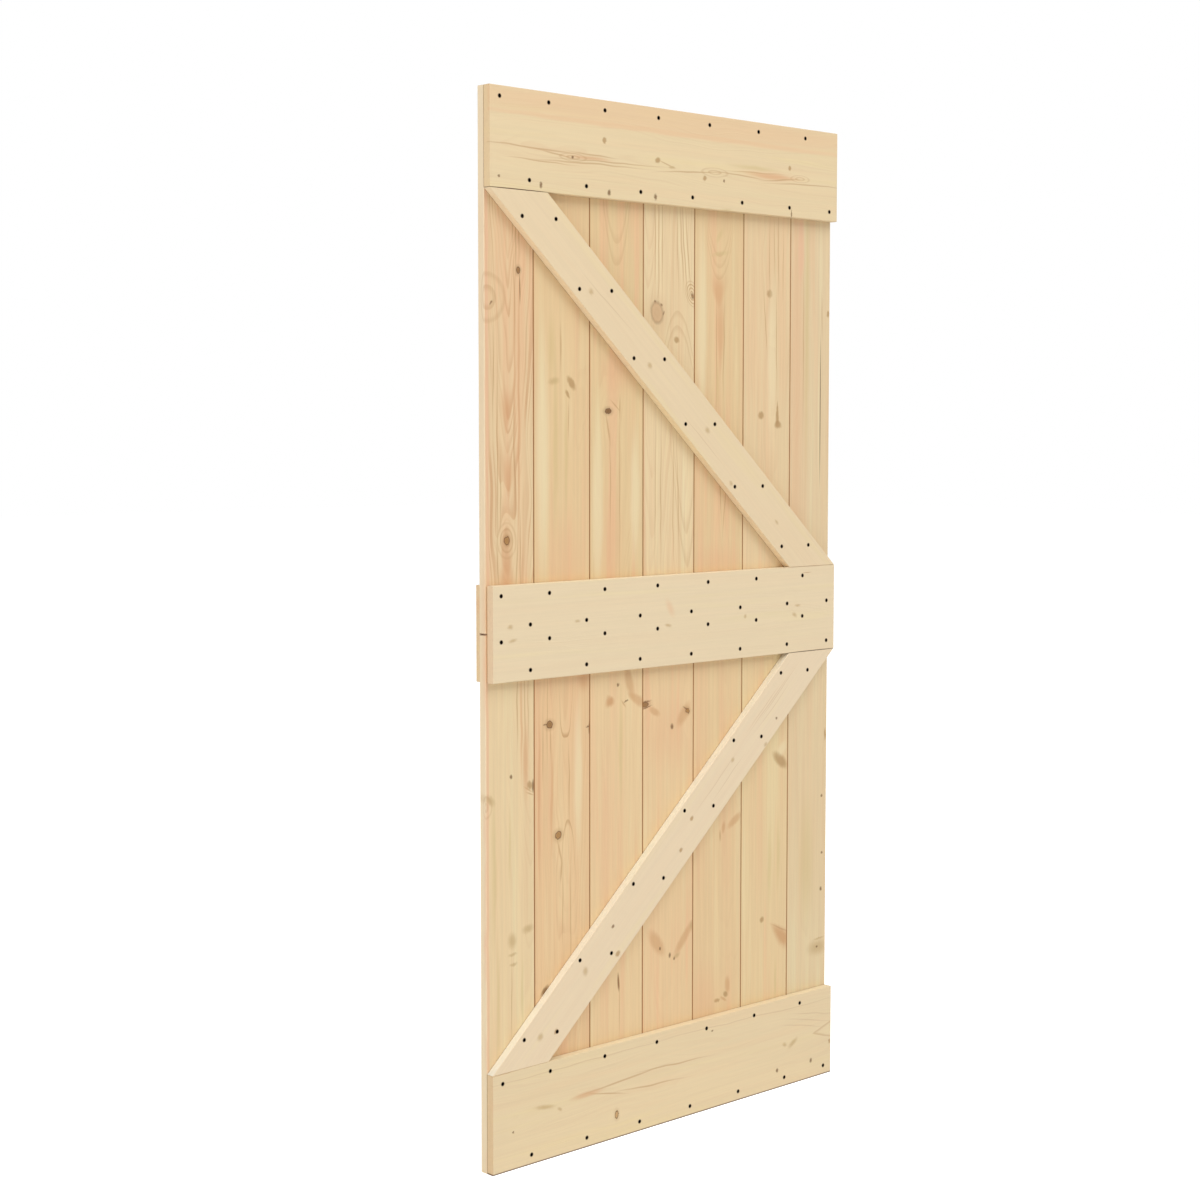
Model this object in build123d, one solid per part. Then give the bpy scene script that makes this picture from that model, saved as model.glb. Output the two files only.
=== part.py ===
"""Braced barn door leaf of pine boards, 1000 x 2100 mm.

Tongued planks stand side by side, in an upper and a lower half that meet
between the middle rails. Rails and two slanting braces are screwed across
them. Millimetres, +Z up, the front faces -Y, and the origin is at the
middle of the bottom, halfway through the planks' thickness.
"""
from math import asin, atan2, hypot, sin, tan

from build123d import *
import os

# The door as a whole
door_width = 1000.0
door_height = 2100.0

# Planks: a left one, as many full ones as fit, and what remains at the right
plank_thickness = 18.0
left_plank_width = 124.5
full_plank_width = 149.0
narrowest_right_plank = 60.0
seam_gap = 0.4
seam_bevel = 1.2
tongue_depth = 8.0
tongue_thickness = 6.0
tongue_end_clearance = 0.5
tongue_side_clearance = 0.15

# The two halves meet at this level
joint_height = 1058.0
joint_gap = 1.0

# Rails, which lie across the planks
rail_thickness = 18.0
top_rail_height = 192.0
middle_rail_height = 188.0
bottom_rail_height = 198.0
front_middle_rail_inset = 4.0
back_middle_rail_inset = 7.5
edge_bevel = 1.0

# Braces, which run from corner to corner between the rails
brace_width = 98.0
brace_thickness = 18.0
butt_gap = 0.4

# Countersunk wood screws
screw_head_diameter = 7.0
screw_head_height = 2.0
screw_shank_diameter = 3.6
screw_head_sink = 0.3
screw_clearance = 0.05
wood_past_point = 6.0
screw_flat_count = 8

# Where the screws go
screw_from_rail_edge = 20.0
screw_from_joint = 15.0
screw_from_seam = 25.0
brace_screw_spacing = 87.0
upper_brace_screw_lift = -4.0
lower_brace_screw_lift = 10.0

# Planes and levels that follow from the sizes above
left_edge = -door_width / 2
right_edge = door_width / 2
plank_front = -plank_thickness / 2
plank_back = plank_thickness / 2
rail_front = plank_front - rail_thickness
brace_front = plank_front - brace_thickness
top_rail_bottom = door_height - top_rail_height
middle_rail_bottom = joint_height - middle_rail_height / 2
middle_rail_top = joint_height + middle_rail_height / 2


def seam_places():
    """X of the door's left edge, of each seam between planks and of its right edge."""
    places = [left_edge]
    seam = left_edge + left_plank_width
    while seam < right_edge - narrowest_right_plank:
        places.append(seam)
        seam += full_plank_width
    places.append(right_edge)
    return places


seams = seam_places()


def plank_section(number):
    """Section of one plank, with a groove at its left and a tongue at its right."""
    first = number == 0
    last = number == len(seams) - 2
    left = seams[number] + (0 if first else seam_gap / 2)
    right = seams[number + 1] - (0 if last else seam_gap / 2)
    section = Pos((left + right) / 2, 0) * Rectangle(right - left, plank_thickness)
    section = chamfer(section.vertices(), seam_bevel)
    if not last:
        tongue = Rectangle(tongue_depth, tongue_thickness, align=(Align.MIN, Align.CENTER))
        section += Pos(right, 0) * tongue
    if not first:
        groove_depth = tongue_depth + tongue_end_clearance - seam_gap
        groove_thickness = tongue_thickness + 2 * tongue_side_clearance
        groove = Rectangle(groove_depth, groove_thickness, align=(Align.MIN, Align.CENTER))
        section -= Pos(left, 0) * groove
    return section


def plank(number, bottom, top):
    """One plank between two levels."""
    return Pos(0, 0, bottom) * extrude(plank_section(number), top - bottom)


def rail(left, bottom, height, front):
    """A level board that ends at the door's right edge, with its long edges bevelled."""
    corner = Pos(left, front, bottom)
    size = (right_edge - left, rail_thickness, height)
    board = corner * Box(*size, align=(Align.MIN, Align.MIN, Align.MIN))
    return chamfer(board.edges().filter_by(Axis.X), edge_bevel)


def brace_angle(rise):
    """Slope of a board of the brace's width that reaches from corner to corner."""
    return atan2(rise, door_width) + asin(brace_width / hypot(door_width, rise))


def brace(bottom, top, side):
    """A slanting board cut level against two rails. Side is 1 if it falls to the right."""
    low = bottom + butt_gap
    high = top - butt_gap
    cut = brace_width / sin(brace_angle(high - low))
    corners = [
        (side * left_edge, high),
        (side * (left_edge + cut), high),
        (side * right_edge, low),
        (side * (right_edge - cut), low),
    ]
    outline = Plane.XZ * make_face(Polyline(*corners, close=True))
    board = Pos(0, plank_front, 0) * extrude(outline, brace_thickness)
    square_cut = board.edges().filter_by(Axis.X) + board.edges().filter_by(Axis.Y)
    return chamfer(board.edges() - square_cut, edge_bevel)


def screw_shape(length, clearance, mouth):
    """A countersunk screw along +Y with its head's face at Y = 0.

    Its round is drawn with a few flats, because it repeats so often. The
    clearance and the mouth, which opens it up to the board's face, make
    the hole that it leaves.
    """
    head = screw_head_diameter / 2 + clearance
    shank = screw_shank_diameter / 2 + clearance
    widening = mouth * (head - shank) / screw_head_height
    outer = Plane((0, -mouth, 0), x_dir=(1, 0, 0), z_dir=(0, 1, 0))
    inner = Plane((0, screw_head_height, 0), x_dir=(1, 0, 0), z_dir=(0, 1, 0))
    ring = inner * RegularPolygon(shank, screw_flat_count)
    countersink = loft([outer * RegularPolygon(head + widening, screw_flat_count), ring], ruled=True)
    taper = loft([ring.face(), Vertex(0, length + clearance, 0)], ruled=True)
    return (countersink + taper).solid()


def screw_length(depth):
    """Length of a screw that stops short of the back of the boards it joins."""
    return depth - screw_head_sink - wood_past_point


def rail_screw_places(upper_row, lower_row):
    """Two rows in zigzag: beside each plank's left seam, and beside its right one."""
    upper = [(seam + screw_from_seam, upper_row) for seam in seams[:-1]]
    lower = [(seam - screw_from_seam, lower_row) for seam in seams[1:]]
    return upper + lower


def brace_screw_places(bottom, top, side, lift):
    """A level pair on the brace at each seam, one screw in each plank."""
    slope = side * tan(brace_angle(top - bottom - 2 * butt_gap))
    places = []
    for seam in seams[1:-1]:
        height = (bottom + top) / 2 - slope * seam + lift
        if bottom + screw_from_rail_edge < height < top - screw_from_rail_edge:
            places.append((seam - brace_screw_spacing / 2, height))
            places.append((seam + brace_screw_spacing / 2, height))
    return places


def meets(one, other):
    """Whether two boxes reach each other along every axis."""
    return all((
        one.min.X < other.max.X and other.min.X < one.max.X,
        one.min.Y < other.max.Y and other.min.Y < one.max.Y,
        one.min.Z < other.max.Z and other.min.Z < one.max.Z,
    ))


def save(node, solids):
    """Write one node's file."""
    for solid in solids:
        solid.label = node.replace("_", " ")
    shape = Compound(children=solids, label=node) if len(solids) > 1 else solids[0]
    export_step(shape, os.path.join("parts", node + ".step"))


# Boards before their screw holes
boards = {}
for number in range(len(seams) - 1):
    lower_half = plank(number, 0, joint_height - joint_gap / 2)
    upper_half = plank(number, joint_height + joint_gap / 2, door_height)
    boards[f"lower_plank_{number + 1}"] = lower_half
    boards[f"upper_plank_{number + 1}"] = upper_half
boards["top_rail"] = rail(left_edge, top_rail_bottom, top_rail_height, rail_front)
boards["front_middle_rail"] = rail(
    left_edge + front_middle_rail_inset, middle_rail_bottom, middle_rail_height, rail_front
)
boards["back_middle_rail"] = rail(
    left_edge + back_middle_rail_inset, middle_rail_bottom, middle_rail_height, plank_back
)
boards["bottom_rail"] = rail(left_edge, 0, bottom_rail_height, rail_front)
boards["upper_brace"] = brace(middle_rail_top, top_rail_bottom, 1)
boards["lower_brace"] = brace(bottom_rail_height, middle_rail_bottom, -1)

# Screws: the face they start from, the depth of wood there, and their places
through_rail = rail_thickness + plank_thickness
through_brace = brace_thickness + plank_thickness
through_middle = 2 * rail_thickness + plank_thickness
top_rows = rail_screw_places(
    door_height - screw_from_rail_edge, top_rail_bottom + screw_from_rail_edge
)
above_joint = rail_screw_places(
    middle_rail_top - screw_from_rail_edge, joint_height + screw_from_joint
)
below_joint = rail_screw_places(
    joint_height - screw_from_joint, middle_rail_bottom + screw_from_rail_edge
)
bottom_rows = rail_screw_places(
    bottom_rail_height - screw_from_rail_edge, screw_from_rail_edge
)
upper_pairs = brace_screw_places(middle_rail_top, top_rail_bottom, 1, upper_brace_screw_lift)
lower_pairs = brace_screw_places(bottom_rail_height, middle_rail_bottom, -1, lower_brace_screw_lift)
screw_groups = {
    "top_rail_screws": (rail_front, through_rail, top_rows),
    "upper_brace_screws": (brace_front, through_brace, upper_pairs),
    "middle_rail_screws": (rail_front, through_middle, above_joint + below_joint),
    "lower_brace_screws": (brace_front, through_brace, lower_pairs),
    "bottom_rail_screws": (rail_front, through_rail, bottom_rows),
}
screws = {}
holes = []
for node, (front, depth, places) in screw_groups.items():
    screw = screw_shape(screw_length(depth), 0, 0)
    hole = screw_shape(screw_length(depth), screw_clearance, screw_head_sink)
    spots = [Pos(across, front + screw_head_sink, height) for across, height in places]
    screws[node] = [spot * screw for spot in spots]
    holes += [spot * hole for spot in spots]

os.makedirs("parts", exist_ok=True)
for node, board in boards.items():
    box = board.bounding_box()
    reaching = [hole for hole in holes if meets(hole.bounding_box(), box)]
    save(node, (board - reaching).solids())
for node, solids in screws.items():
    save(node, solids)
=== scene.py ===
"""Looks for a braced barn door leaf of raw pine boards.

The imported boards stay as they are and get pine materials, one for each board,
with the knots and marks that the real boards have. Detailed screws stand for
the plain ones. Blender units are metres, and marks are given in millimetres.
"""

from collections import namedtuple
from math import asin, atan2, cos, hypot, pi, radians, sin

import bmesh
import bpy
from bpy.props import FloatProperty, FloatVectorProperty, IntProperty, PointerProperty
from mathutils import Matrix, Vector


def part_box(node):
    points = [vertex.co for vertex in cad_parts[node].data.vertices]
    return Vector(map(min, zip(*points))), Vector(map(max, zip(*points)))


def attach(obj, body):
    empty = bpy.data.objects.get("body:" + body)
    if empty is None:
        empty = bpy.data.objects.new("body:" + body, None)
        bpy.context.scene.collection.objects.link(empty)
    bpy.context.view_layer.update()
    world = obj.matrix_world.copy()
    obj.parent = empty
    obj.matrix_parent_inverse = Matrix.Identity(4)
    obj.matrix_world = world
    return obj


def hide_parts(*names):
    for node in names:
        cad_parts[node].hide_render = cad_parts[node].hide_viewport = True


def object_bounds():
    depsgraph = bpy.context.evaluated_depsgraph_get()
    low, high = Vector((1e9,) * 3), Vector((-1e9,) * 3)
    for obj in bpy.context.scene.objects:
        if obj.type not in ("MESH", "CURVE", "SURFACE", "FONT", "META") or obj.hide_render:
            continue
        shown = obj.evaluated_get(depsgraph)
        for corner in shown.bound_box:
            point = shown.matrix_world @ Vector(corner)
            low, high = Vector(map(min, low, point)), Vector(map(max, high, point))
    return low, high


bl_info = {
    "name": "Barn Door Leaf",
    "version": (1, 0, 0),
    "blender": (4, 5, 0),
    "location": "3D View > Sidebar > Barn Door",
    "description": "Gives a packed barn door leaf its pine, its screws and a studio",
    "category": "Object",
}

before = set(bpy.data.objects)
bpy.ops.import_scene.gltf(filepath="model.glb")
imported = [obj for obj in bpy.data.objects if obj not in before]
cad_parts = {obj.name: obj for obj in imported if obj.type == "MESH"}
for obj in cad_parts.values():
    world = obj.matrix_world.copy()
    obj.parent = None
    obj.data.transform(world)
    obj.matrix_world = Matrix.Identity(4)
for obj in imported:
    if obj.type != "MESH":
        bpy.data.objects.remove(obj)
cad_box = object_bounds()

MM = 0.001
BODY = "root"
UP = Vector((0, 0, 1))
RIGHT = Vector((1, 0, 0))
DEPTH = Vector((0, 1, 0))

# Depths of marks, in millimetres: a board's front face from its middle, how far
# a mark goes that shows on both sides, and how far one that stays on the face
FRONT_FACE = -9.0
THROUGH = 400.0
SURFACE = 10.0

# A plank's tongue in millimetres, and how a countersink's wall leans
TONGUE = 8.0
COUNTERSINK_SLOPE = 0.62
SLOPE_TOLERANCE = 0.04

# How strong the fibres and streaks are
PLANK_STREAKS = 1.0
RAIL_STREAKS = 0.6
BRACE_STREAKS = 0.5

# Lamps and floor
KEY_PLACE = (2.0, -8.6, 12.6)
KEY_SIZE = 11.0
SIDE_PLACE = (-8.0, -1.5, 2.6)
SIDE_SIZE = 4.5
FLOOR_SHADE = 0.86
FLOOR_GLOW = 0.69


def screen(red, green, blue):
    """A colour given as a screen shows it, 0 to 255, in linear values."""
    parts = [level / 255 for level in (red, green, blue)]
    return tuple(p / 12.92 if p <= 0.04045 else ((p + 0.055) / 1.055) ** 2.4 for p in parts)


def colour_setting(name, description, default):
    """A colour that a user can change."""
    return FloatVectorProperty(
        name=name, description=description, subtype="COLOR", default=default, min=0, max=1
    )


def length_setting(name, description, default, least=0.0):
    """A length in metres that a user can change."""
    return FloatProperty(name=name, description=description, default=default, min=least, unit="LENGTH")


def power_setting(name, description, default):
    """A lamp's power in watts that a user can change."""
    return FloatProperty(name=name, description=description, default=default, min=0, unit="POWER")


def angle_setting(name, description, degrees):
    """An angle that a user can change."""
    return FloatProperty(name=name, description=description, default=radians(degrees), unit="ROTATION")


class PineSettings(bpy.types.PropertyGroup):
    """The pine that every board is made of."""

    plank_colour: colour_setting("Plank Colour", "Early wood on the planks", screen(230, 202, 160))
    rail_colour: colour_setting(
        "Rail Colour", "Early wood on the rails and braces", screen(232, 210, 174)
    )
    ring_colour: colour_setting(
        "Ring Colour", "Late wood, the dark line of each growth ring", screen(196, 142, 96)
    )
    warm_colour: colour_setting("Warm Colour", "Heartwood bands", screen(230, 184, 142))
    pale_colour: colour_setting("Pale Colour", "Sapwood bands", screen(233, 212, 170))
    end_colour: colour_setting(
        "End Grain Shade", "Multiplies the wood's colour on sawn ends", (0.93, 0.85, 0.78)
    )
    # Painted shade with dust: the seam colour darkens the V grooves between the planks, where shade
    # falls
    seam_shade_and_dust_colour: colour_setting(
        "Seam Colour", "Bottom of the V grooves between the planks", screen(158, 100, 40)
    )
    seam_width: length_setting("Seam Width", "Width of the shade on each side of a seam", 0.0022)
    # Painted shade: darkens a rail or brace in the corner where it lies on the planks
    corner_shade_colour: colour_setting(
        "Corner Shade",
        "Multiplies the wood's colour where a rail or brace meets the planks",
        (0.44, 0.36, 0.28),
    )
    # Painted shade with crushed wood: the hole colour darkens the countersinks' walls and a ring round
    # each screw head, as wide as the hole width
    hole_shade_and_crush_colour: colour_setting(
        "Hole Colour", "Crushed wood round the screw heads", screen(52, 22, 0)
    )
    hole_width: length_setting(
        "Hole Width", "Width of the crushed wood round a screw head", 0.0088
    )
    rim_colour: colour_setting("Knot Rim Colour", "Bark line round a knot", screen(96, 58, 20))
    brace_width: length_setting(
        "Brace Width", "Width of a brace, which sets its slope and the way its grain runs", 0.098, 0.02
    )
    relief: length_setting("Relief", "Height of the grain that the planer leaves", 0.00012)


class ScrewSettings(bpy.types.PropertyGroup):
    """The black countersunk wood screws."""

    head_diameter: length_setting("Head Diameter", "Width of the flat head", 0.007, 0.002)
    head_height: length_setting("Head Height", "Depth of the tapered head", 0.002, 0.0005)
    core_diameter: length_setting("Core Diameter", "Shank between the threads", 0.0025, 0.0005)
    thread_diameter: length_setting("Thread Diameter", "Shank over the threads", 0.0036, 0.0005)
    pitch: length_setting("Pitch", "Distance from one thread to the next", 0.0018, 0.0005)
    point_length: length_setting("Point Length", "Length of the tapered point", 0.005, 0.001)
    sides: IntProperty(name="Sides", description="Flats round the head", default=24, min=8, max=64)
    colour: colour_setting("Colour", "Black phosphate coating", (0.0034, 0.0024, 0.0016))


class StudioSettings(bpy.types.PropertyGroup):
    """Floor, lamps and camera."""

    floor_size: length_setting("Floor Size", "Side of the square floor", 60, 4)
    room_light: FloatProperty(
        name="Room Light", description="Strength of the light from all round", default=0.36, min=0
    )
    key_power: power_setting("Key Power", "Large lamp above the front", 1400)
    side_power: power_setting("Side Power", "Large lamp at the left", 270)
    camera_place: FloatVectorProperty(
        name="Camera Place",
        description="Where the camera stands",
        subtype="XYZ",
        unit="LENGTH",
        default=(-3.1413, -3.147, 1.4475),
    )
    camera_turn: angle_setting(
        "Camera Turn", "How far the camera looks to the right of straight back", 43.164
    )
    camera_dip: angle_setting("Camera Dip", "How far the camera looks down", 4.019)
    focal_length: FloatProperty(
        name="Focal Length",
        description="Focal length of the camera's lens in millimetres",
        default=64.289,
        min=10,
    )
    lens_shift: FloatProperty(
        name="Lens Shift", description="Vertical shift as a share of the picture", default=-0.015
    )


# Each board: its colour against the common one, the pith's place across the
# board and behind its front face, how much nearer the pith comes for each
# millimetre along, ring spacing, how dark the rings are, how warm the bands,
# the painted light that makes its long edges paler, and its sawn ends' colour
BOARD_PARTS = "tint across depth lean spacing rings warmth edge end"
Board = namedtuple("Board", BOARD_PARTS, defaults=[(1, 1, 1), (1, 1, 1)])

BOARDS = {
    "upper_plank_1": Board((0.97, 0.95, 0.92), -4, 46, 0.06, 4.3, 0.6, 0.6),
    "upper_plank_2": Board((0.965, 0.93, 0.85), 35, 70, 0.02, 4.6, 0.08, 0.4),
    "upper_plank_3": Board((0.95, 0.935, 0.845), -30, 60, 0.03, 4.0, 0.14, 0.6),
    "upper_plank_4": Board((1.0, 1.04, 1.03), -60, 55, 0.04, 4.6, 0.24, 0.2),
    "upper_plank_5": Board((0.955, 0.93, 0.85), 0, 62, -0.03, 3.8, 0.12, 0.5),
    "upper_plank_6": Board((0.98, 1.0, 0.98), 20, 80, 0.02, 3.6, 0.14, 0.3),
    "upper_plank_7": Board((0.95, 0.98, 0.99), -60, 60, 0.02, 4.2, 0.10, 0.3),
    "lower_plank_1": Board((1.0, 1.03, 1.01), 40, 60, 0.03, 3.4, 0.12, 0.2),
    "lower_plank_2": Board((0.985, 0.905, 0.83), 9, 44, 0.05, 4.0, 0.24, 0.6),
    "lower_plank_3": Board((1.0, 0.98, 0.92), -20, 75, 0.02, 4.4, 0.08, 0.5),
    "lower_plank_4": Board((1.0, 0.965, 0.905), 10, 80, 0.02, 4.6, 0.08, 0.6),
    "lower_plank_5": Board((0.965, 0.935, 0.865), 30, 70, 0.03, 4.2, 0.08, 0.45),
    "lower_plank_6": Board((0.98, 0.98, 0.91), -25, 70, -0.02, 4.0, 0.07, 0.4),
    "lower_plank_7": Board((0.95, 0.99, 0.99), 0, 60, 0.02, 3.8, 0.10, 0.2),
    "top_rail": Board(
        (0.976, 0.973, 0.905), 10, 70, 0.02, 4.4, 0.12, 0.1, (1, 1, 1), (1.04, 1.06, 1.09)
    ),
    "front_middle_rail": Board(
        (0.985, 1.0, 1.0), -60, 90, 0.01, 3.6, 0.02, 0.05, (1.04, 1.08, 1.14), (1.01, 1.0, 1.04)
    ),
    "back_middle_rail": Board(
        (0.99, 0.97, 0.94), 20, 60, 0.03, 4.0, 0.3, 0.4, (1, 1, 1), (1.02, 1.05, 1.06)
    ),
    "bottom_rail": Board(
        (0.96, 0.965, 0.92), 0, 52, -0.03, 4.6, 0.08, 0.1, (1.04, 1.08, 1.14), (0.98, 0.96, 0.94)
    ),
    "upper_brace": Board((0.98, 0.97, 0.95), 40, 80, 0.01, 3.8, 0.03, 0.05),
    "lower_brace": Board((1.0, 1.01, 1.05), -30, 80, 0.02, 4.0, 0.03, 0.05, (1.0, 1.13, 1.3)),
}
PLANKS = [f"{half}_plank_{number}" for half in ("upper", "lower") for number in range(1, 8)]
RAILS = ["top_rail", "front_middle_rail", "back_middle_rail", "bottom_rail"]
BRACES = {"upper_brace": 1, "lower_brace": -1}
SCREWS = {
    "top_rail": "top_rail_screws",
    "upper_brace": "upper_brace_screws",
    "front_middle_rail": "middle_rail_screws",
    "lower_brace": "lower_brace_screws",
    "bottom_rail": "bottom_rail_screws",
}

# Kinds of mark: tone, softness of the rim, strength, depth into the wood, and
# flow: ragged like a blotch, waved like the grain, or straight
Kind = namedtuple("Kind", "tone softness strength depth flow")
KINDS = {
    "pin": Kind(screen(110, 74, 30), 0.6, 0.84, THROUGH, "ragged"),
    "smudge": Kind(screen(188, 156, 106), 0.75, 0.6, THROUGH, "ragged"),
    "blotch": Kind(screen(172, 134, 84), 0.45, 0.75, THROUGH, "ragged"),
    "dark": Kind(screen(114, 76, 32), 0.6, 0.8, THROUGH, "ragged"),
    "wing": Kind(screen(200, 150, 102), 0.5, 0.57, SURFACE, "ragged"),
    "warm": Kind(screen(226, 176, 134), 0.95, 0.4, SURFACE, "waved"),
    "blush": Kind(screen(229, 184, 148), 0.45, 0.7, SURFACE, "waved"),
    "flame": Kind(screen(206, 148, 102), 0.75, 0.5, SURFACE, "waved"),
    "band": Kind(screen(229, 190, 148), 0.45, 0.5, SURFACE, "waved"),
    "olive": Kind(screen(206, 182, 126), 0.9, 0.45, SURFACE, "waved"),
    "cream": Kind(screen(236, 220, 178), 0.6, 0.55, SURFACE, "waved"),
    "line": Kind(screen(178, 130, 80), 0.8, 0.5, SURFACE, "waved"),
    "saw": Kind(screen(206, 176, 138), 0.6, 0.5, SURFACE, "waved"),
    "crack": Kind(screen(126, 80, 28), 0.5, 0.85, SURFACE, "waved"),
    # Painted shade: dark lines in narrow gaps where parts meet, in a crack, and where the bottom rail
    # stands on the floor
    "gap_shade": Kind(screen(84, 50, 20), 0.4, 0.92, THROUGH, "straight"),
    # Painted light: the pale kind lightens the door's left side face
    "pale": Kind(screen(234, 214, 180), 0.4, 0.8, THROUGH, "straight"),
}

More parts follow.
